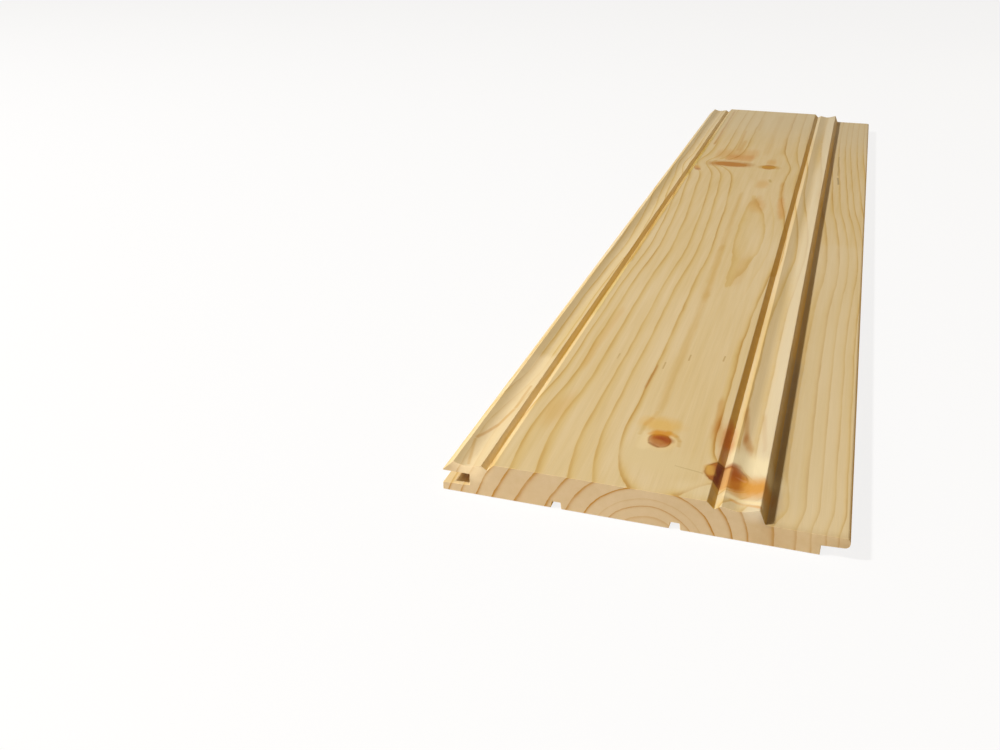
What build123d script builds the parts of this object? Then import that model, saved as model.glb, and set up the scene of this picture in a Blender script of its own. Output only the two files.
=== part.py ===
from build123d import *
import os
from math import radians, tan

# Pine panelling board: one length of tongue-and-groove stock, lying on its back with the face up.
# It is one piece, so it is one solid. The section is made the way a moulder cuts it: a plain blank
# loses the stock round its tongue, its groove, the moulding on its face and the kerfs in its back.
# +X points to the tongue edge, +Y runs along the grain and +Z points out of the face. In the
# section, x is measured from the groove edge and z from the back. All sizes are in millimetres.

# Driving sizes of the stock
length = 915.0
thickness = 17.5
coverage = 177.0                # face width that one laid board adds to a wall

# Tongue edge
ledge_height = 10.3             # back of the board to the ledge, whose outer part tops the tongue
ledge_width = 26.7              # foot of the step to the line where the next board's lip lands
tongue_reach = 9.0              # how far the tongue runs on past that line
tongue_root_height = 4.8        # back of the board to the tongue's underside at its shoulder
tongue_taper = 0.6              # how much the underside has risen by the tip
shoulder_setback = 2.8          # gap left between the backs of two boards pushed together
tip_top_radius = 1.6
tip_bottom_radius = 2.2
step_lean = 23.5                # the wall down to the ledge, in degrees from upright
step_foot_radius = 1.2

# Groove edge
groove_depth = 13.5
groove_clearance_top = 0.15     # the groove's roof above a tongue's top
groove_clearance_bottom = 0.8   # the groove's floor below a tongue's underside
lip_nose = 0.5                  # blunt edge of the upper lip
lip_bevel_angle = 45.0
lower_lip_radius = 0.4

# Moulding on the face, the same at both sides of the flat: a vee, then a dished band that falls
# from the vee's outer edge to a rounded valley and climbs to a crest
flat_start = 25.5               # groove edge to the flat
vee_depth = 3.45
vee_flat_run = 3.4              # from the flat's arris in to the bottom of the vee
vee_band_run = 3.0              # from the bottom of the vee out to the band
band_start_drop = 1.5           # below the face, where the vee meets the band
band_valley_drop = 3.1          # below the face, where the band's two slopes meet
band_fall_run = 7.8             # start of the band to its valley
band_climb_run = 8.4            # valley to the crest
crest_drop = 0.5                # below the face
crest_land = 0.5                # level strip between the band and the step
valley_radius = 12.0
flat_arris_radius = 0.9
band_arris_radius = 0.5
crest_radius = 0.5

# Relief kerfs in the back
kerf_count = 2
kerf_first = 56.0               # groove edge to the middle of the first kerf
kerf_pitch = 55.2
kerf_depth = 3.4
kerf_mouth_width = 5.1
kerf_bottom_width = 4.1

# Places that follow from the sizes above. The flat takes the width that the rest leaves.
board_width = coverage + tongue_reach
shoulder_x = coverage - shoulder_setback
underside_slope = tongue_taper / (board_width - shoulder_x)
tip_height = tongue_root_height + tongue_taper
groove_roof = ledge_height + groove_clearance_top
groove_mouth_floor = tongue_root_height - groove_clearance_bottom
groove_wall_floor = groove_mouth_floor + underside_slope * groove_depth
lip_edge = groove_roof + lip_nose
bevel_slope = tan(radians(lip_bevel_angle))
crest_height = thickness - crest_drop
step_foot_x = coverage - ledge_width
step_slope = tan(radians(step_lean))
step_top_x = step_foot_x - (crest_height - ledge_height) * step_slope
band_end_run = vee_flat_run + vee_band_run + band_fall_run + band_climb_run
flat_end = step_top_x - crest_land - band_end_run
over = 5.0                      # how far a cutter runs past the stock


def face_of(*points):
    """A flat face from its corners in the section."""
    return make_face(Polyline(*points, close=True))


def rounded(face, x, z, radius):
    """The face with its corner nearest to (x, z) rounded."""
    corner = face.vertices().sort_by_distance((x, z, 0))[0]
    return fillet(corner, radius)


def ledge_cutter():
    """Stock above the ledge and the tongue, up to the leaning wall of the step."""
    top = thickness + over
    cutter = face_of(
        (step_foot_x, ledge_height),
        (board_width + over, ledge_height),
        (board_width + over, top),
        (step_foot_x - (top - ledge_height) * step_slope, top),
    )
    return rounded(cutter, step_foot_x, ledge_height, step_foot_radius)


def tongue_cutter():
    """Stock below the tongue, whose underside rises a little towards the tip."""
    return face_of(
        (shoulder_x, -over),
        (shoulder_x, tongue_root_height),
        (board_width + over, tip_height + over * underside_slope),
        (board_width + over, -over),
    )


def groove_cutter():
    """The groove, which takes a tongue with its clearances and the same taper."""
    return face_of(
        (-over, groove_mouth_floor - over * underside_slope),
        (groove_depth, groove_wall_floor),
        (groove_depth, groove_roof),
        (-over, groove_roof),
    )


def bevel_cutter():
    """Stock above the upper lip, which turns the groove edge into one side of a vee joint."""
    rise = thickness + over - lip_edge
    return face_of(
        (-over, lip_edge),
        (0, lip_edge),
        (rise / bevel_slope, lip_edge + rise),
        (-over, lip_edge + rise),
    )


def moulding_cutter():
    """The vee, the dished band and the lowered crest, running to +x from the flat's arris at 0."""
    vee_bottom = (vee_flat_run, thickness - vee_depth)
    band_start = (vee_flat_run + vee_band_run, thickness - band_start_drop)
    valley = (band_start[0] + band_fall_run, thickness - band_valley_drop)
    past_crest = band_end_run + flat_start + over
    cutter = face_of(
        (0, thickness),
        vee_bottom,
        band_start,
        valley,
        (band_end_run, crest_height),
        (past_crest, crest_height),
        (past_crest, thickness + over),
        (0, thickness + over),
    )
    cutter = rounded(cutter, *valley, valley_radius)
    return rounded(cutter, *band_start, band_arris_radius)


def kerf_cutter(middle):
    """One relief kerf, a little narrower at its bottom than at its mouth."""
    slope = (kerf_mouth_width - kerf_bottom_width) / 2 / kerf_depth
    mouth = kerf_mouth_width / 2 + over * slope
    bottom = kerf_bottom_width / 2
    return face_of(
        (middle - mouth, -over),
        (middle + mouth, -over),
        (middle + bottom, kerf_depth),
        (middle - bottom, kerf_depth),
    )


def board_section():
    """The whole section of the board, with the arrises that a moulder leaves slightly round."""
    section = Rectangle(board_width, thickness, align=(Align.MIN, Align.MIN))
    section -= Pos(flat_end, 0) * moulding_cutter()
    section -= Pos(flat_start, 0) * mirror(moulding_cutter(), about=Plane.YZ)
    section -= ledge_cutter()
    section -= tongue_cutter()
    section -= groove_cutter()
    section -= bevel_cutter()
    for kerf in range(kerf_count):
        section -= kerf_cutter(kerf_first + kerf * kerf_pitch)
    bevel_top_x = (crest_height - lip_edge) / bevel_slope
    section = rounded(section, bevel_top_x, crest_height, crest_radius)
    section = rounded(section, step_top_x, crest_height, crest_radius)
    section = rounded(section, flat_start, thickness, flat_arris_radius)
    section = rounded(section, flat_end, thickness, flat_arris_radius)
    section = rounded(section, board_width, ledge_height, tip_top_radius)
    section = rounded(section, board_width, tip_height, tip_bottom_radius)
    return rounded(section, 0, groove_mouth_floor, lower_lip_radius)


def panelling_board():
    """The board, its section carried along the grain and centred over the origin."""
    section = Pos(-board_width / 2, 0) * board_section()
    return extrude(Plane.XZ * section, amount=length / 2, both=True)


os.makedirs("parts", exist_ok=True)
export_step(panelling_board(), "parts/panelling_board.step")
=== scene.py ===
from math import radians, tan

import bpy
import numpy as np
from mathutils import Matrix, Vector


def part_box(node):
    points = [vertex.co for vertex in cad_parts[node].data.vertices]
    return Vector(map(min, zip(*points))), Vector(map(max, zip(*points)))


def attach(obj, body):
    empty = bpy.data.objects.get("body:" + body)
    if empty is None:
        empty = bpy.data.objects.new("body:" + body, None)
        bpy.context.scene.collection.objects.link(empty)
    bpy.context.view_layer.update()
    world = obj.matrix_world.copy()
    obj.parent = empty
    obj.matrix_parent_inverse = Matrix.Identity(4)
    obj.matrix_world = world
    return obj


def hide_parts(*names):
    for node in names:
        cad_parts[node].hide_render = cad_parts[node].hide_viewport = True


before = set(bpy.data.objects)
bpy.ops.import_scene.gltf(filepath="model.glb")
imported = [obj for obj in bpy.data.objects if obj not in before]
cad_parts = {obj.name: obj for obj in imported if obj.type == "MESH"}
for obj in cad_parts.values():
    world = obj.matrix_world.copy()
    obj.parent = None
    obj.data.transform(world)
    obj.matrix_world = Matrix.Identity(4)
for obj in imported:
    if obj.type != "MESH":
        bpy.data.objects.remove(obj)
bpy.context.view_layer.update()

# Knotty pine panelling board, lying on its back. The board is one piece, so one swept surface stands
# for its CAD node, with the arrises that planing and handling leave. Its wood is a solid pattern in
# the board's own space: growth rings round a wandering pith, which part round the branches, so the
# lines on the face, on the moulding, on the ledge and on the sawn ends all belong to one tree.
# Lengths are in millimetres until a mesh, a lamp or the camera is placed. In the section, x is
# measured from the groove edge and z from the back; y runs along the grain from the middle.

MM = 0.001

# Sizes of the stock, from the frame
board_low, board_high = (np.array(corner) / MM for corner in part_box("panelling_board"))
LENGTH, THICKNESS = board_high[1] - board_low[1], board_high[2]
BOARD_WIDTH = board_high[0] - board_low[0]

# Sizes of the section
TONGUE_REACH = 9.0
COVERAGE = BOARD_WIDTH - TONGUE_REACH
SHOULDER_X = COVERAGE - 2.8
TONGUE_UNDERSIDE = (4.8, 5.4)           # at the shoulder and at the tip
LEDGE_HEIGHT = 10.3
STEP_FOOT_X = COVERAGE - 26.7
STEP_LEAN = 23.5                        # degrees from upright
FLAT_START = 25.5
CREST_HEIGHT = THICKNESS - 0.5
CREST_LAND = 0.5
MOULDING = ((3.4, 3.45), (6.4, 1.5), (14.2, 3.1), (22.6, 0.5))    # run from the flat, drop
GROOVE_DEPTH = 13.5
GROOVE_ROOF = LEDGE_HEIGHT + 0.15
GROOVE_FLOOR = (4.0, 4.69)              # at the mouth and at the end wall
LIP_EDGE = GROOVE_ROOF + 0.5
KERF_MIDDLES = (56.0, 111.2)
KERF_DEPTH = 3.4
KERF_HALF = (2.55, 2.05)                # half the width at the mouth and at the bottom
BEVEL_END_X = 5.3                       # where the groove edge's bevel meets the dished band

# Radii
TIP_UNDER_RADIUS, TIP_TOP_RADIUS = 2.2, 1.6
STEP_FOOT_RADIUS = 1.2
CREST_RADIUS = 0.5                      # also where a slope of the band meets the vee or the bevel
VALLEY_RADIUS = 12.0
FLAT_EDGE_RADIUS = 0.9
LOWER_LIP_RADIUS = 0.4
WORN = 0.25                             # on every corner that has no radius of its own
END_ARRIS = 0.18                        # bevel that handling leaves round the sawn ends, under WORN
POINTS_PER_ARC = 7
STATIONS = 93                           # cross-sections along the board


def section_corners():
    """Corners of the section with their radii, anticlockwise from the groove edge of the back."""
    step_top_x = STEP_FOOT_X - (CREST_HEIGHT - LEDGE_HEIGHT) * tan(radians(STEP_LEAN))
    flat_end = step_top_x - CREST_LAND - MOULDING[-1][0]
    vee, band, valley, crest = MOULDING
    corners = [(0, 0, WORN)]
    for middle in KERF_MIDDLES:
        mouth, bottom = KERF_HALF
        corners += [(middle - mouth, 0, WORN), (middle - bottom, KERF_DEPTH, WORN),
                    (middle + bottom, KERF_DEPTH, WORN), (middle + mouth, 0, WORN)]
    corners += [(SHOULDER_X, 0, WORN), (SHOULDER_X, TONGUE_UNDERSIDE[0], WORN),
                (BOARD_WIDTH, TONGUE_UNDERSIDE[1], TIP_UNDER_RADIUS),
                (BOARD_WIDTH, LEDGE_HEIGHT, TIP_TOP_RADIUS),
                (STEP_FOOT_X, LEDGE_HEIGHT, STEP_FOOT_RADIUS),
                (step_top_x, CREST_HEIGHT, CREST_RADIUS),
                (flat_end + crest[0], THICKNESS - crest[1], WORN),
                (flat_end + valley[0], THICKNESS - valley[1], VALLEY_RADIUS),
                (flat_end + band[0], THICKNESS - band[1], CREST_RADIUS),
                (flat_end + vee[0], THICKNESS - vee[1], WORN),
                (flat_end, THICKNESS, FLAT_EDGE_RADIUS),
                (FLAT_START, THICKNESS, FLAT_EDGE_RADIUS),
                (FLAT_START - vee[0], THICKNESS - vee[1], WORN),
                (FLAT_START - band[0], THICKNESS - band[1], CREST_RADIUS),
                (FLAT_START - valley[0], THICKNESS - valley[1], VALLEY_RADIUS),
                (BEVEL_END_X, LIP_EDGE + BEVEL_END_X, CREST_RADIUS),
                (0, LIP_EDGE, WORN), (0, GROOVE_ROOF, WORN), (GROOVE_DEPTH, GROOVE_ROOF, WORN),
                (GROOVE_DEPTH, GROOVE_FLOOR[1], WORN), (0, GROOVE_FLOOR[0], LOWER_LIP_RADIUS)]
    return np.array(corners)


def rounded_outline(corners):
    """Points and outward normals of a closed outline whose corners are circular arcs.

    An arc of radius r leaves each side r * tan(half the turn) before the corner. Its points are the
    arc's centre plus r times a unit vector that turns evenly from one side's outward normal to the
    other's, and that unit vector, or its opposite in a hollow corner, is the surface's normal.
    """
    place, radius = corners[:, :2], corners[:, 2]
    run = np.roll(place, -1, axis=0) - place
    ahead = run / np.linalg.norm(run, axis=1)[:, None]
    before = np.roll(ahead, 1, axis=0)
    turn = np.arctan2(before[:, 0] * ahead[:, 1] - before[:, 1] * ahead[:, 0],
                      (before * ahead).sum(axis=1))
    side = np.sign(turn)
    outward = np.stack([before[:, 1], -before[:, 0]], axis=1)
    start = place - before * (radius * np.tan(np.abs(turn) / 2))[:, None]
    centre = start - outward * (side * radius)[:, None]
    share = np.linspace(0, 1, POINTS_PER_ARC)[None, :]
    angle = np.arctan2(outward[:, 1], outward[:, 0])[:, None] + turn[:, None] * share
    normal = np.stack([np.cos(angle), np.sin(angle)], axis=2)
    points = centre[:, None] + normal * (side * radius)[:, None, None]
    return points.reshape(-1, 2), normal.reshape(-1, 2)


def board_mesh():
    """The rounded outline carried straight along y, drawn in by the end arris at both ends.

    Row j of the grid is the outline at station y[j]. The first and last rows lie the end arris
    inside the outline along its normals, and one face closes each end.
    """
    outline, normal = rounded_outline(section_corners())
    count = len(outline)
    half = LENGTH / 2
    y = np.concatenate([[-half], np.linspace(-half + END_ARRIS, half - END_ARRIS, STATIONS), [half]])
    inset = np.zeros_like(y)
    inset[[0, -1]] = END_ARRIS
    grid = np.empty((len(y), count, 3))
    grid[..., [0, 2]] = outline[None] - normal[None] * inset[:, None, None]
    grid[..., 0] -= BOARD_WIDTH / 2
    grid[..., 1] = y[:, None]

    row, column = np.meshgrid(np.arange(len(y) - 1), np.arange(count), indexing="ij")
    after = (column + 1) % count
    sides = np.stack([row * count + column, (row + 1) * count + column,
                      (row + 1) * count + after, row * count + after], axis=2).reshape(-1, 4)
    last_row = (len(y) - 1) * count
    ends = [list(range(count)), list(range(last_row + count - 1, last_row - 1, -1))]
    mesh = bpy.data.meshes.new("panelling_board_wood")
    mesh.from_pydata((grid * MM).reshape(-1, 3), [], sides.tolist() + ends)

    across = np.stack([normal[:, 0], np.zeros(count), normal[:, 1]], axis=1)
    along = np.zeros((len(y), 1, 3))
    along[0, 0, 1], along[-1, 0, 1] = -1, 1
    smooth = across[None] + along
    smooth /= np.linalg.norm(smooth, axis=2)[..., None]
    flat_ends = np.repeat([[0, -1, 0], [0, 1, 0]], count, axis=0)
    corner_normals = np.concatenate([smooth.reshape(-1, 3)[sides.ravel()], flat_ends])
    mesh.normals_split_custom_set(corner_normals)
    return mesh


# The tree. The pith's way along the board: y, then its x and its depth below the face.
PITH = ((-457.5, 99.0, 31.0), (-435, 98.7, 27.5), (-408, 98.5, 25.4), (-360, 98.2, 24.2),
        (-280, 98.2, 24.3), (-200, 98.6, 23.3), (-178, 99.2, 22.5), (-150, 100.2, 22.0),
        (-120, 101.5, 21.5), (-90, 101.8, 20.4), (-50, 100.6, 19.6), (-15, 98.8, 20.3),
        (20, 96.5, 21.5), (45, 94.2, 22.5), (80, 91.6, 23.0), (120, 90.0, 23.2), (200, 87.0, 25.0),
        (300, 84.5, 26.1), (457.5, 85.0, 26.3))
# Growth rings: the radius at which each ends, and how strongly its latewood is coloured.
RINGS = ((0, 0.3), (8, 0.3), (17, 0.3), (22.5, 0.5), (26.3, 0.18), (32.4, 0.7), (40.5, 0.6),
         (47.6, 0.6), (57.9, 0.6), (66.8, 0.65), (73.2, 0.6), (79.5, 0.6), (84.5, 0.6), (91, 0.6),
         (97, 0.6), (103, 0.6))
RING_SPAN = 103.0
CURVE_SPAN = 100.0          # mm that 1 stands for in the curves of the pith's way
# Each side below is a pair of places, in mm sideways from the pith, between which something sets
# in. Each along is such a pair along the board, in shares of half the length from its middle.
WIDER_FROM = 38.0           # on the groove side, rings past this radius are wider at the near end
WIDER_BY = 0.17
WIDER_SIDE = (-50, -10)
WIDER_ALONG = (-0.92, -0.73)
LEDGE_SHIFT = 3.1           # mm by which the rings under the ledge lie further out
LEDGE_SHIFT_AT_END = 0.4    # the part of that shift which is left at the near end
LEDGE_SIDE = (48, 58)
LEDGE_ALONG = (-1, -0.95)
GROOVE_SIDE_LEAN = 0.16     # how much radius the outer rings lose or gain for each mm below the face
GROOVE_LEAN_SIDE = (-65, -40)
TONGUE_SIDE_LEAN = 0.10
TONGUE_LEAN_SIDE = (20, 45)
# The innermost rings lie nearly flat under the face, and show on it only in the flame.
INNER_RINGS = 27.0
FLAME_MIDDLE = -60.0
FLAME_HALF = 110.0
FLAME_FADE = 40.0
WOBBLE = 1.6                # mm over which the wood's lines wander slowly
FINE_WOBBLE = 0.1           # mm by which they waver from fibre to fibre
PAINTED_SHADE_GOLD_COVER = 0.65      # how far the shaded walls that face the tongue edge are painted a deeper gold: painted shade

# Branches: two places on the axis, radius, how far it pulls the rings out and how far that pull
# reaches, how much of a knot's colour it shows, and how fast its collar fades.
BRANCHES = {
    "near knot": ((97.3, -428, -6), (91.8, -391, 40), 5.4, 6, 13, 1.0, 1),
    "near spike": ((127, -433, 8), (160, -444, 33), 12.0, 26, 8, 0.0, 1),
    "near spike heart": ((126.5, -429.5, 0), (131.5, -431, 30), 10.6, 0, 1, 0.95, 5),
    "far spike": ((91.3, 169, -6), (40, 175, 31), 9.0, 24, 18, 0.8, 3),
    "far knot": ((93.7, 147, -5), (96, 194, 38), 6.0, 4, 12, 0.8, 2),
    "edge pin knot": ((26, 158, 14), (31, 143, 17), 3.0, 3, 6, 0.6, 3),
}
# A knot's colours: distance from the axis in radii, colour, and how much it covers the wood.
KNOT_COLOURS = (
    (0.00, "A55A26", 1.0), (0.40, "A45420", 1.0), (0.62, "B0662B", 1.0), (0.84, "B47026", 1.0),
    (0.95, "93590F", 1.0), (1.04, "D2A054", 0.75), (1.14, "EBCF9A", 0.55), (1.36, "E9CF98", 0.4),
    (1.75, "E9CF98", 0.0))

# A streak or patch covers fully within the core, and nothing past the edge, both in radii.
MARK_CORE = 0.2
MARK_EDGE = 1.35
MARK_RAGGED = 0.15          # radii by which its outline wanders
# Streaks of resin and heartwood, and streaks of painted shade, which run along the grain and tint
# the wood: two ends, radius across the grain, tint and strength. Along the grain each fades over a
# longer way.
STREAK_STRETCH = 5.0
STREAKS = (
    # lines and tints along the groove side
    ((76.6, -350, 17.5), (77.2, -324, 17.5), 0.9, "CF9A62", 0.4),
    ((89, -372, 17.5), (87.5, -200, 17.5), 2.6, "F0E0B8", 0.5),
    ((87.5, -200, 17.5), (84.3, -100, 17.5), 2.8, "F2DFB0", 0.5),
    ((84.1, -92, 17.5), (80.7, 60, 17.5), 2.4, "F2E2BC", 0.45),
    ((36.5, -396, 17.5), (41, -386, 17.5), 4.0, "F8E0AC", 0.4),
    ((38, -330, 17.5), (40, -250, 17.5), 2.6, "F6DEAC", 0.35),
    ((31.5, 262, 17.5), (30.5, 440, 17.5), 1.5, "DDB56C", 0.8),
    ((57.5, 240, 17.5), (56, 330, 17.5), 1.6, "EBCB8C", 0.5),
    # painted shade: a deeper gold in the vee of the groove side, which grows towards the far end
    ((24, -245, 16), (24, 480, 16), 3.0, "EEECCE", 1.0),
    ((24, -140, 16), (24, 480, 16), 3.0, "F0E0BA", 1.0),
    ((24, 130, 16), (24, 480, 16), 3.0, "EEF4D8", 1.0),
    # the flame's cap and tail, and the streaks beside it
    ((94, 32, 17.5), (101.5, 27, 17.5), 4.4, "F4CC86", 0.32),
    ((97, 50, 17.5), (98.5, 42, 17.5), 3.4, "F2CF8C", 0.3),
    ((104.5, -128, 17.5), (103.5, -158, 17.5), 4.5, "EED8B0", 0.3),
    ((92.5, 103, 17.5), (97.5, 106, 17.5), 3.6, "F2D294", 0.5),
    ((116, 48, 17.5), (119.5, 8, 17.5), 3.2, "F4C98A", 0.6),
    ((113, 108, 17.5), (115, 62, 17.5), 2.4, "EBCB86", 0.5),
    # beside the near spike
    ((117.6, -360, 17.5), (119.5, -385, 17.5), 1.8, "E6BE7C", 0.5),
    ((119.5, -388, 17.5), (123, -396, 17.5), 2.8, "E6BE7C", 0.5),
    ((131.4, -362, 16), (134, -388, 15.3), 1.6, "DDB272", 0.6),
    ((134, -390, 15.3), (138, -402, 14.5), 1.5, "D9A864", 0.6),
    ((141, -365, 15), (144, -398, 16), 1.2, "E2C07C", 0.5),
    ((126, -408, 16), (126, -390, 16), 3.2, "F09A34", 0.8),
    # painted shade: grey in the corner of the step, towards the near end, where the step's shadow
    # lies
    ((151.6, -446, 14), (151.6, -290, 14), 5.2, "CCD2F0", 0.9),
    # beyond the far spike and the far knot
    ((43, 214, 17.5), (76, 222, 17.5), 5.0, "F2D29C", 0.5),
    ((54, 200, 17.5), (75, 203, 17.5), 3.4, "F0C07A", 0.55),
    ((94, 190, 17.5), (98, 191, 17.5), 3.4, "F2CE8C", 0.5),
    ((60.6, 245, 17.5), (61, 275, 17.5), 2.6, "ECCB84", 0.5),
    ((69, 350, 17.5), (69, 395, 17.5), 2.4, "F0D898", 0.4),
    ((87.5, 240, 17.5), (87, 420, 17.5), 4.0, "F3E4C4", 0.4),
    ((102.5, 240, 17.5), (102, 420, 17.5), 3.0, "F3E4C4", 0.4),
)

# Patches that cover the wood, knots included: two ends, radius, colour and cover.
PATCHES = (
    # pale sapwood along the moulding, the ledge and the far end, a darker corner of the near end,
    # painted shade in the groove, and painted light on the slope beside the vee of the groove side
    ((14, -470, 15), (13, -330, 15), 9.0, "F0DDB4", 0.6),
    ((144.5, -470, 16), (144, 470, 16), 5.5, "D8CEB4", 0.55),
    ((170, -470, 10), (168, -50, 10), 16.0, "E2D2AC", 0.38),
    ((153, -466, 5), (190, -466, 5), 12.0, "A88448", 0.5),
    ((30, 430, 17.5), (160, 430, 17.5), 150.0, "D8CCAE", 0.5),
    ((11.5, -450, 7.5), (11.5, 450, 7.5), 6.0, "8E4A24", 0.7),
    # painted light on the shaded slope beside the vee, towards the far end
    ((20.2, 60, 15.4), (20.2, 480, 15.4), 1.7, "E8D09C", 0.4),
    # a line that swings across the groove side's moulding
    ((16.3, -366, 15.5), (16.2, -394, 15.5), 1.0, "CC9E50", 0.45),
    ((16.0, -396, 15.4), (13.6, -412, 14.8), 1.1, "C9994A", 0.5),
    ((13.3, -413.5, 14.8), (7.7, -430, 15), 1.2, "C4924A", 0.55),
    ((7.5, -432.5, 15), (12.3, -455, 14.6), 1.0, "D0A458", 0.45),
    # the near knot: the pale wood that bulges round it, the golden wood beyond it, its rim, the
    # lines that part round it, and its heart
    ((88, -426, 17.5), (104, -430, 17.5), 14.0, "DDC999", 0.85),
    ((86, -404, 17.5), (88, -417, 17.5), 4.0, "EAD7A8", 0.5),
    ((90.5, -392.5, 17.5), (94.5, -393, 17.5), 9.5, "DDAE44", 0.6),
    ((93, -401.2, 17.5), (96.8, -401, 17.5), 3.4, "D08C22", 0.85),
    ((89.8, -403.2, 17.5), (92.4, -401.4, 17.5), 2.3, "D4983A", 0.6),
    ((98, -399.8, 17.5), (101.4, -402.4, 17.5), 1.8, "D09C3C", 0.6),
    ((101.9, -403.1, 17.5), (103.7, -406.5, 17.5), 1.3, "C49A44", 0.5),
    ((103.9, -407.5, 17.5), (104.2, -412, 17.5), 1.2, "C8A050", 0.4),
    ((88.3, -379, 17.5), (87.4, -386, 17.5), 1.3, "D2AC60", 0.35),
    ((87.2, -387, 17.5), (85, -394.5, 17.5), 1.7, "D2A04C", 0.5),
    ((84.6, -396.5, 17.5), (84.1, -405, 17.5), 1.4, "C9A862", 0.4),
    ((95.5, -406, 17.5), (98, -408, 17.5), 3.4, "984A1C", 0.75),
    ((92.8, -410, 17.5), (95, -410.9, 17.5), 2.8, "BE8A48", 0.6),
    ((90.4, -412.8, 17.5), (94.8, -415.8, 17.5), 1.0, "8A4A16", 0.45),
    # the near spike: the pale wood round it, the resin-soaked wood beside it, its heart, its paler
    # parts, and the lines and cracks that run out of it
    ((134, -410.5, 15), (148, -421.5, 17), 10.0, "EBDDB4", 0.9),
    ((114, -449, 17.5), (122, -448, 17.5), 8.0, "E6D6AE", 0.5),
    ((137.5, -436, 15), (144.5, -437.5, 16.5), 10.0, "D4963A", 0.92),
    ((131.6, -420, 15.2), (134, -430, 14.6), 3.6, "9E4C06", 0.78),
    ((133, -432, 14.8), (134.6, -438, 14.6), 3.8, "AE5E14", 0.7),
    ((134, -429, 14.6), (138, -431, 14.6), 1.1, "DCA878", 0.4),
    ((126, -424, 15), (125.5, -436, 15.5), 4.0, "7A2A04", 0.75),
    ((129.4, -423.5, 15.2), (129.2, -440, 15.2), 2.5, "E2B472", 0.75),
    ((121, -427.5, 17.5), (122.2, -432.5, 17.5), 2.8, "D8AC54", 0.75),
    ((132, -446.5, 15.5), (148, -452, 17), 2.2, "F1DFB0", 0.85),
    ((134, -449.5, 15), (148, -455, 17), 1.2, "D9A04E", 0.6),
    ((106, -431, 17.5), (118.5, -434, 17.5), 0.5, "9A7A3C", 0.3),
    # the hearts and soft edges of the far spike, the far knot and the pin knot, and a bark speck
    ((46, 172.2, 17.5), (70, 174.5, 17.5), 11.5, "B67E2E", 0.82),
    ((92, 171.2, 17.5), (98, 171.8, 17.5), 8.0, "C09024", 0.8),
    ((27.5, 156, 17.5), (30, 150, 17.5), 3.4, "D4A85C", 0.7),
    ((45, 187, 17.5), (62, 189, 17.5), 3.0, "DFC8A0", 0.5),
    ((100.4, 123, 17.5), (101.6, 115, 17.5), 1.5, "B8963F", 0.55),
    # a drying crack along the ledge
    ((158.2, 270, 10.3), (159.5, 190, 10.3), 0.9, "9A7A44", 0.4),
    ((159.8, 180, 10.3), (161, 155, 10.3), 1.1, "765A30", 0.5),
    # short resin ducts
    ((93, -309, 17.5), (93, -301, 17.5), 0.55, "B08A48", 0.6),
    ((112, -304, 17.5), (112.3, -297, 17.5), 0.55, "B08A48", 0.6),
    ((81, -325, 17.5), (81, -316, 17.5), 0.55, "B08A48", 0.5),
    ((54, -319, 17.5), (54, -312, 17.5), 0.55, "B08A48", 0.5),
)


def put(tree, kind, feeds, out=0, **settings):
    """Adds a node with its settings, feeds its inputs and returns one of its outputs.

    Feeds are a sequence in the order of the inputs, or a dict by name or number. A socket is linked
    and anything else becomes the input's value.
    """
    node = tree.nodes.new("ShaderNode" + kind)
    for name, value in settings.items():
        setattr(node, name, value)
    for key, feed in feeds.items() if isinstance(feeds, dict) else enumerate(feeds):
        if isinstance(feed, bpy.types.NodeSocket):
            tree.links.new(feed, node.inputs[key])
        else:
            node.inputs[key].default_value = feed
    return node.outputs[out] if node.outputs else None


def shape_curve(curve, points, handle):
    """Gives a node's curve these (input, output) points."""
    while len(curve.points) < len(points):
        curve.points.new(0.5, 0.5)
    for point, (x, y) in zip(curve.points, points):
        point.location = (x, y)
        point.handle_type = handle


def shape_ramp(ramp, stops):
    """Gives a colour ramp these (position, colour) stops."""
    while len(ramp.elements) < len(stops):
        ramp.elements.new(1.0)
    for element, (position, colour) in zip(ramp.elements, stops):
        element.position = position
        element.color = colour


def linear(hex_colour, alpha=1.0):
    """An sRGB hex colour as linear red, green, blue and alpha."""
    srgb = np.array([int(hex_colour[i:i + 2], 16) for i in (0, 2, 4)]) / 255
    low, high = srgb / 12.92, ((srgb + 0.055) / 1.055) ** 2.4
    return (*np.where(srgb <= 0.04045, low, high), alpha)


def distance_from(tree, place, start, end):
    """Distance in mm from the straight line between two points.

    A clamp would be a node of its own that the renderer puts last, and then so many of these wait
    at once that the material grows too big for it. A maximum and a minimum do the same in order.
    """
    start, end = Vector(start), Vector(end)
    axis = end - start
    offset = put(tree, "VectorMath", (place, start), operation="SUBTRACT")
    share = put(tree, "VectorMath", (offset, axis / axis.length_squared), out=1,
                operation="DOT_PRODUCT")
    share = put(tree, "Math", (share, 0.0), operation="MAXIMUM")
    share = put(tree, "Math", (share, 1.0), operation="MINIMUM")
    on_axis = put(tree, "VectorMath", {0: axis, "Scale": share}, operation="SCALE")
    return put(tree, "VectorMath", (offset, on_axis), out=1, operation="DISTANCE")


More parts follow.
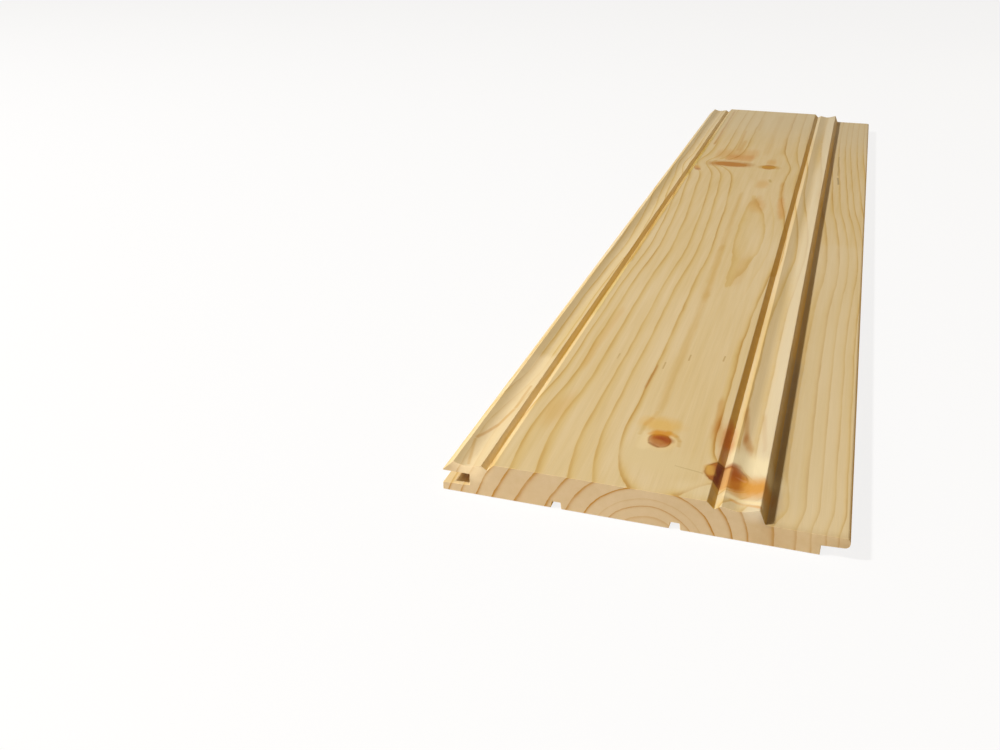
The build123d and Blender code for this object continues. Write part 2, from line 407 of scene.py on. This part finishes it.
def growth_radius(tree, place, distances):
    """Radius in mm at which the wood at a place grew.

    It is the distance to the pith, less what the outer rings on the groove side are wider by and
    what those under the ledge lie further out by, with the lean of the outer rings below the face,
    less each branch's pull times e to the minus distance over reach.
    """
    half = LENGTH / 2
    scaled = put(tree, "VectorMath", (place, (0, 1 / half, 0)), operation="MULTIPLY")
    y = put(tree, "SeparateXYZ", (scaled,), out=1)
    along = put(tree, "CombineXYZ", (y, y, y))
    pith = put(tree, "VectorCurve", (1.0, along))
    curves = pith.node.mapping.curves
    shape_curve(curves[0], [(at / half, x / CURVE_SPAN - 0.5) for at, x, _ in PITH], "AUTO")
    shape_curve(curves[2], [(at / half, depth / CURVE_SPAN) for at, _, depth in PITH], "AUTO")
    to_mm, from_origin = (CURVE_SPAN, 0, -CURVE_SPAN), (CURVE_SPAN / 2, 0, THICKNESS)
    pith = put(tree, "VectorMath", (pith, to_mm, from_origin), operation="MULTIPLY_ADD")
    flat_place = put(tree, "VectorMath", (place, (1, 0, 1)), operation="MULTIPLY")
    from_pith = put(tree, "VectorMath", (flat_place, pith), operation="SUBTRACT")
    radius = put(tree, "VectorMath", (from_pith,), out=1, operation="LENGTH")

    sideways = put(tree, "SeparateXYZ", (from_pith,))
    outside = put(tree, "Math", (radius, WIDER_FROM), operation="SUBTRACT")
    outside = put(tree, "Math", (outside, 0.0), operation="MAXIMUM")
    groove_side = put(tree, "MapRange", (sideways, *WIDER_SIDE, 1, 0))
    near_end = put(tree, "MapRange", (y, *WIDER_ALONG, WIDER_BY, 0),
                   interpolation_type="SMOOTHSTEP")
    wider = put(tree, "Math", (groove_side, near_end), operation="MULTIPLY")
    wider = put(tree, "Math", (wider, outside), operation="MULTIPLY")
    radius = put(tree, "Math", (radius, wider), operation="SUBTRACT")
    under_ledge = put(tree, "MapRange", (sideways, *LEDGE_SIDE, 0, LEDGE_SHIFT))
    past_end = put(tree, "MapRange", (y, *LEDGE_ALONG, -LEDGE_SHIFT_AT_END, -1),
                   interpolation_type="SMOOTHSTEP")
    radius = put(tree, "Math", (under_ledge, past_end, radius), operation="MULTIPLY_ADD")

    height = put(tree, "SeparateXYZ", (place,), out=2)
    depth = put(tree, "Math", (THICKNESS, height), operation="SUBTRACT")
    groove_lean = put(tree, "MapRange", (sideways, *GROOVE_LEAN_SIDE, -GROOVE_SIDE_LEAN, 0))
    tongue_lean = put(tree, "MapRange", (sideways, *TONGUE_LEAN_SIDE, 0, TONGUE_SIDE_LEAN))
    lean = put(tree, "Math", (groove_lean, tongue_lean), operation="ADD")
    radius = put(tree, "Math", (lean, depth, radius), operation="MULTIPLY_ADD")
    for (_, _, _, pull, reach, _, _), distance in zip(BRANCHES.values(), distances):
        fade = put(tree, "Math", (distance, -1 / reach), operation="MULTIPLY")
        fade = put(tree, "Math", (fade,), operation="EXPONENT")
        radius = put(tree, "Math", (fade, -pull, radius), operation="MULTIPLY_ADD")
    return radius


def grain_noise(tree, place, across, along, seed, detail=2.0, roughness=0.5):
    """Noise from -1 to 1 whose patches measure so many mm across and along the grain."""
    per_mm = (1 / across, 1 / along, 1 / across)
    stretched = put(tree, "VectorMath", (place, per_mm, (seed, seed, seed)),
                    operation="MULTIPLY_ADD")
    noise = put(tree, "TexNoise", {"Vector": stretched, "Scale": 1.0, "Detail": detail,
                                   "Roughness": roughness})
    return put(tree, "MapRange", (noise, 0.2, 0.8, -1, 1))


def latewood(tree, radius):
    """How much of a place is latewood, from 0 to 1, and how strongly its ring is coloured."""
    share = put(tree, "Math", (radius, 1 / RING_SPAN), operation="MULTIPLY")
    both = put(tree, "CombineXYZ", (share, share, 0.0))
    rings = put(tree, "VectorCurve", (1.0, both))
    count = len(RINGS)
    curves = rings.node.mapping.curves
    numbers = [(end / RING_SPAN, i / count) for i, (end, _) in enumerate(RINGS)]
    tones = [(end / RING_SPAN, tone) for end, tone in RINGS]
    shape_curve(curves[0], [(-1, 0)] + numbers, "VECTOR")
    shape_curve(curves[1], [(-1, 0)] + tones, "AUTO")
    number = put(tree, "SeparateXYZ", (rings,))
    tone = put(tree, "SeparateXYZ", (rings,), out=1)
    number = put(tree, "Math", (number, float(count)), operation="MULTIPLY")
    phase = put(tree, "Math", (number,), operation="FRACT")
    season = put(tree, "FloatCurve", (1.0, phase))
    shape_curve(season.node.mapping.curves[0],
                [(0, 0.8), (0.05, 0.1), (0.12, 0.0), (0.42, 0.0), (0.62, 0.12), (0.76, 0.34),
                 (0.87, 0.66), (0.95, 0.95), (1.0, 1.0)], "AUTO")
    return season, tone


def laid_over(tree, wood, place, ragged, marks, blend):
    """The wood's colour with marks blended over it, each fading from its core to its edge."""
    for start, end, mark_radius, colour, cover in marks:
        share = put(tree, "Math", (distance_from(tree, place, start, end), 1 / mark_radius),
                    operation="MULTIPLY")
        share = put(tree, "Math", (ragged, MARK_RAGGED, share), operation="MULTIPLY_ADD")
        amount = put(tree, "MapRange", (share, MARK_EDGE, MARK_CORE, 0, cover), clamp=False,
                     interpolation_type="SMOOTHSTEP")
        wood = put(tree, "Mix", {0: amount, 6: wood, 7: linear(colour)}, out=2, data_type="RGBA",
                   blend_type=blend)
    return wood


def knotty_pine():
    """Knotty pine, planed and moulded, bare, with sawn ends.

    To the eye: pale cream earlywood between thin honey-brown latewood lines, which widen into flames
    where the face runs along a ring; red-brown knots with a dark rim and an orange, resin-soaked
    collar; a low, silky sheen; ends that are darker and pinker, with a sawn, dull surface.
    """
    material = bpy.data.materials.new("knotty_pine_planed")
    material.use_nodes = True
    tree = material.node_tree
    tree.nodes.clear()

    # The place in the section's mm, which surfaces are sawn ends, and the walls facing the tongue
    # edge, away from the key lamp, which get painted shade
    object_place = put(tree, "TexCoord", (), out=3)
    place = put(tree, "VectorMath", (object_place, (1 / MM,) * 3, (BOARD_WIDTH / 2, 0, 0)),
                operation="MULTIPLY_ADD")
    object_normal = put(tree, "TexCoord", (), out=1)
    facing = put(tree, "Math", (put(tree, "SeparateXYZ", (object_normal,), out=1),),
                 operation="ABSOLUTE")
    sawn_end = put(tree, "MapRange", (facing, 0.8, 0.95, 0, 1))
    painted_shade_walls = put(tree, "SeparateXYZ", (object_normal,))
    painted_shade_walls = put(tree, "MapRange", (painted_shade_walls, 0.4, 0.6, 0, PAINTED_SHADE_GOLD_COVER))

    # The growth rings, which a slow wobble and a fine one keep from being true curves
    slow = put(tree, "VectorMath", (place, (0.08, 0.025, 0.08)), operation="MULTIPLY")
    wobble = put(tree, "TexNoise", {"Vector": slow, "Scale": 1.0, "Detail": 3.0}, out=1)
    wobble = put(tree, "VectorMath", (wobble, (WOBBLE,) * 3, (-WOBBLE / 2,) * 3),
                 operation="MULTIPLY_ADD")
    wavy = put(tree, "VectorMath", (place, wobble), operation="ADD")
    distances = [distance_from(tree, wavy, *branch[:2]) for branch in BRANCHES.values()]
    radius = growth_radius(tree, wavy, distances)
    fine_wobble = grain_noise(tree, place, 1.5, 14, 3.1)
    radius = put(tree, "Math", (fine_wobble, FINE_WOBBLE, radius), operation="MULTIPLY_ADD")
    season, tone = latewood(tree, radius)
    uneven = grain_noise(tree, place, 9, 60, 4.4)
    uneven = put(tree, "MapRange", (uneven, -1, 1, 0.65, 1.35))
    tone = put(tree, "Math", (tone, uneven), operation="MULTIPLY")
    from_flame = put(tree, "Math", (put(tree, "SeparateXYZ", (place,), out=1), -FLAME_MIDDLE),
                     operation="ADD")
    from_flame = put(tree, "Math", (from_flame,), operation="ABSOLUTE")
    in_flame = put(tree, "MapRange", (from_flame, FLAME_HALF, FLAME_HALF + FLAME_FADE, 1, 0.1))
    outer = put(tree, "MapRange", (radius, INNER_RINGS, INNER_RINGS + 1.5, 0, 1))
    shown = put(tree, "Math", (in_flame, outer), operation="MAXIMUM")
    shown = put(tree, "Math", (shown, sawn_end), operation="MAXIMUM")
    tone = put(tree, "Math", (tone, shown), operation="MULTIPLY")
    # On the sawn ends the lines are stronger and narrower
    end_tone = put(tree, "MapRange", (sawn_end, 0, 1, 1.0, 1.5))
    tone = put(tree, "Math", (tone, end_tone), operation="MULTIPLY")
    sharper = put(tree, "MapRange", (sawn_end, 0, 1, 1.0, 2.6))
    season = put(tree, "Math", (season, sharper), operation="POWER")
    late = put(tree, "Math", (season, tone), operation="MULTIPLY", use_clamp=True)

    # Earlywood with its slow drifts from cream to straw, then the latewood lines over it
    drift = grain_noise(tree, place, 22, 160, 7.7)
    bands = grain_noise(tree, place, 3.5, 110, 2.2)
    drift = put(tree, "Math", (bands, 0.8, drift), operation="MULTIPLY_ADD")
    drift = put(tree, "MapRange", (drift, -1.2, 1.2, 0, 1))
    early = put(tree, "Mix", {0: drift, 6: linear("D7BF88"), 7: linear("E2CFA6")}, out=2,
                data_type="RGBA")
    end_early = put(tree, "Mix", {0: drift, 6: linear("BFA882"), 7: linear("C6B18E")}, out=2,
                    data_type="RGBA")
    early = put(tree, "Mix", {0: sawn_end, 6: early, 7: end_early}, out=2, data_type="RGBA")
    fibre = grain_noise(tree, place, 0.5, 30, 1.3, detail=4.0, roughness=0.6)
    fibre_light = put(tree, "MapRange", (fibre, -1, 1, 0.96, 1.04))
    early = put(tree, "HueSaturation", {"Value": fibre_light, "Color": early})
    late_colour = put(tree, "ValToRGB", (late,))
    shape_ramp(late_colour.node.color_ramp, [(0.3, linear("D0AB46")), (0.8, linear("B98A34"))])
    late_colour = put(tree, "Mix", {0: sawn_end, 6: late_colour, 7: linear("A87A32")}, out=2,
                      data_type="RGBA")
    wood = put(tree, "Mix", {0: late, 6: early, 7: late_colour}, out=2, data_type="RGBA")
    # Painted shade: the walls that face the tongue edge, away from the key lamp, are painted a
    # deeper gold, for the warm light bounced into their shade
    wood = put(tree, "Mix", {0: painted_shade_walls, 6: wood, 7: linear("F6C242")}, out=2, data_type="RGBA")

    # Streaks, knots, then patches, laid over the wood with ragged edges
    ragged = grain_noise(tree, place, 3, 8, 5.5, detail=3.0)
    shrink = Vector((1, 1 / STREAK_STRETCH, 1))
    shrunk = put(tree, "VectorMath", (wavy, shrink), operation="MULTIPLY")
    streaks = [(shrink * Vector(start), shrink * Vector(end), *rest)
               for start, end, *rest in STREAKS]
    wood = laid_over(tree, wood, shrunk, ragged, streaks, "MULTIPLY")
    for (_, _, branch_radius, _, _, cover, fading), distance in zip(BRANCHES.values(), distances):
        if not cover:
            continue
        share = put(tree, "Math", (distance, 0.5 / branch_radius), operation="MULTIPLY")
        share = put(tree, "Math", (ragged, 0.03, share), operation="MULTIPLY_ADD")
        knot = put(tree, "ValToRGB", (share,))
        shape_ramp(knot.node.color_ramp,
                   [(at / 2, linear(colour, alpha)) for at, colour, alpha in KNOT_COLOURS])
        amount = put(tree, "Math", (knot.node.outputs[1], float(fading)), operation="POWER")
        amount = put(tree, "Math", (amount, cover), operation="MULTIPLY")
        wood = put(tree, "Mix", {0: amount, 6: wood, 7: knot}, out=2, data_type="RGBA")
    wood = laid_over(tree, wood, wavy, ragged, PATCHES, "MIX")

    bump_height = put(tree, "Math", (late, 0.5, fibre), operation="MULTIPLY_ADD")
    relief = put(tree, "Bump", {"Strength": 0.25, "Distance": 0.0001, "Height": bump_height})
    shader = put(tree, "BsdfPrincipled", {"Base Color": wood, "Roughness": 0.65,
                                          "Specular IOR Level": 0.12, "Normal": relief})
    put(tree, "OutputMaterial", {"Surface": shader})
    return material


def seen_directly(tree):
    """1 for rays that carry the background to the eye: straight, off a gloss or through glass."""
    camera = put(tree, "LightPath", (), out="Is Camera Ray")
    glossy = put(tree, "LightPath", (), out="Is Glossy Ray")
    transmission = put(tree, "LightPath", (), out="Is Transmission Ray")
    reflected = put(tree, "Math", (glossy, transmission), operation="MAXIMUM")
    return put(tree, "Math", (camera, reflected), operation="MAXIMUM")


FLOOR_GLOW = 0.85       # how much of the floor that the camera sees is plain white, with no shadow


def white_floor():
    """A white studio floor: white to the camera, with a faint part of the board's shadow kept."""
    material = bpy.data.materials.new("studio_paper_white")
    material.use_nodes = True
    tree = material.node_tree
    tree.nodes.clear()
    paper = put(tree, "BsdfDiffuse", {"Color": linear("F4F4F4")})
    glow = put(tree, "Emission", {"Color": linear("FFFFFF"), "Strength": 1.0})
    share = put(tree, "Math", (seen_directly(tree), FLOOR_GLOW), operation="MULTIPLY")
    surface = put(tree, "MixShader", (share, paper, glow))
    put(tree, "OutputMaterial", {"Surface": surface})
    return material


board = bpy.data.objects.new("panelling_board_wood", board_mesh())
bpy.context.scene.collection.objects.link(board)
board.data.materials.append(knotty_pine())
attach(board, "root")
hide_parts("panelling_board")

# Floor, in m
FLOOR_HALF = 6.0
FLOOR_HEIGHT = -0.0002      # just under the board's back, so that the two never share a plane
floor_mesh = bpy.data.meshes.new("studio_floor")
corners = np.array([(-1, -1), (1, -1), (1, 1), (-1, 1)]) * FLOOR_HALF
floor_mesh.from_pydata([(x, y, FLOOR_HEIGHT) for x, y in corners], [], [(0, 1, 2, 3)])
floor_mesh.materials.append(white_floor())
floor = bpy.data.objects.new("studio_floor", floor_mesh)
bpy.context.scene.collection.objects.link(floor)

# Light: a key lamp from the left, 3 m away, so that it falls off a little along the board, a low
# broad lamp from the front that fills the sawn end, a weak one from the far right that reaches the
# walls turned away from the key, and a weak warm sky. Places and widths are in m, powers in W.
LAMPS = {
    "key": ((-2.01, -1.17, 2.1), (0, -0.4, 0), 0.26, 91.0, (1.0, 1.0, 1.0)),
    "front": ((-0.45, -1.25, 0.11), (0, -0.457, 0.009), 0.4, 4.3, (1.0, 0.94, 0.86)),
    "fill": ((0.85, 0.95, 0.36), (0.05, 0.1, 0), 0.3, 0.9, (1.0, 0.94, 0.72)),
}
for name, (lamp_place, aimed_at, width, power, colour) in LAMPS.items():
    lamp = bpy.data.lights.new(name, "AREA")
    lamp.shape = "DISK"
    lamp.size = width
    lamp.energy = power
    lamp.color = colour
    holder = bpy.data.objects.new(name, lamp)
    holder.location = lamp_place
    away = Vector(lamp_place) - Vector(aimed_at)
    holder.rotation_euler = away.to_track_quat("Z", "Y").to_euler()
    bpy.context.scene.collection.objects.link(holder)

world = bpy.data.worlds.new("studio")
world.use_nodes = True
tree = world.node_tree
tree.nodes.clear()
sky = put(tree, "Background", {"Color": linear("FFCE84"), "Strength": 0.175})
backdrop = put(tree, "Background", {"Color": linear("FFFFFF"), "Strength": 1.0})
put(tree, "OutputWorld", {"Surface": put(tree, "MixShader", (seen_directly(tree), sky, backdrop))})
bpy.context.scene.world = world

# Camera
CAMERA_PLACE = Vector((66.97, -858.42, 260.97)) * MM
CAMERA_TARGET = Vector((-95.81, -361.98, 17.5)) * MM
CAMERA_ROLL = 0.143     # degrees, anticlockwise as the camera sees it
FOCAL_LENGTH = 37.57    # mm, for a sensor of the width below
SENSOR_WIDTH = 36.0
camera_data = bpy.data.cameras.new("camera")
camera_data.lens = FOCAL_LENGTH
camera_data.sensor_width = SENSOR_WIDTH
camera = bpy.data.objects.new("camera", camera_data)
aim = (CAMERA_TARGET - CAMERA_PLACE).to_track_quat("-Z", "Y").to_matrix().to_4x4()
roll = Matrix.Rotation(radians(CAMERA_ROLL), 4, "Z")
camera.matrix_world = Matrix.Translation(CAMERA_PLACE) @ aim @ roll
bpy.context.scene.collection.objects.link(camera)
bpy.context.scene.camera = camera

bpy.context.scene.view_settings.view_transform = "Standard"
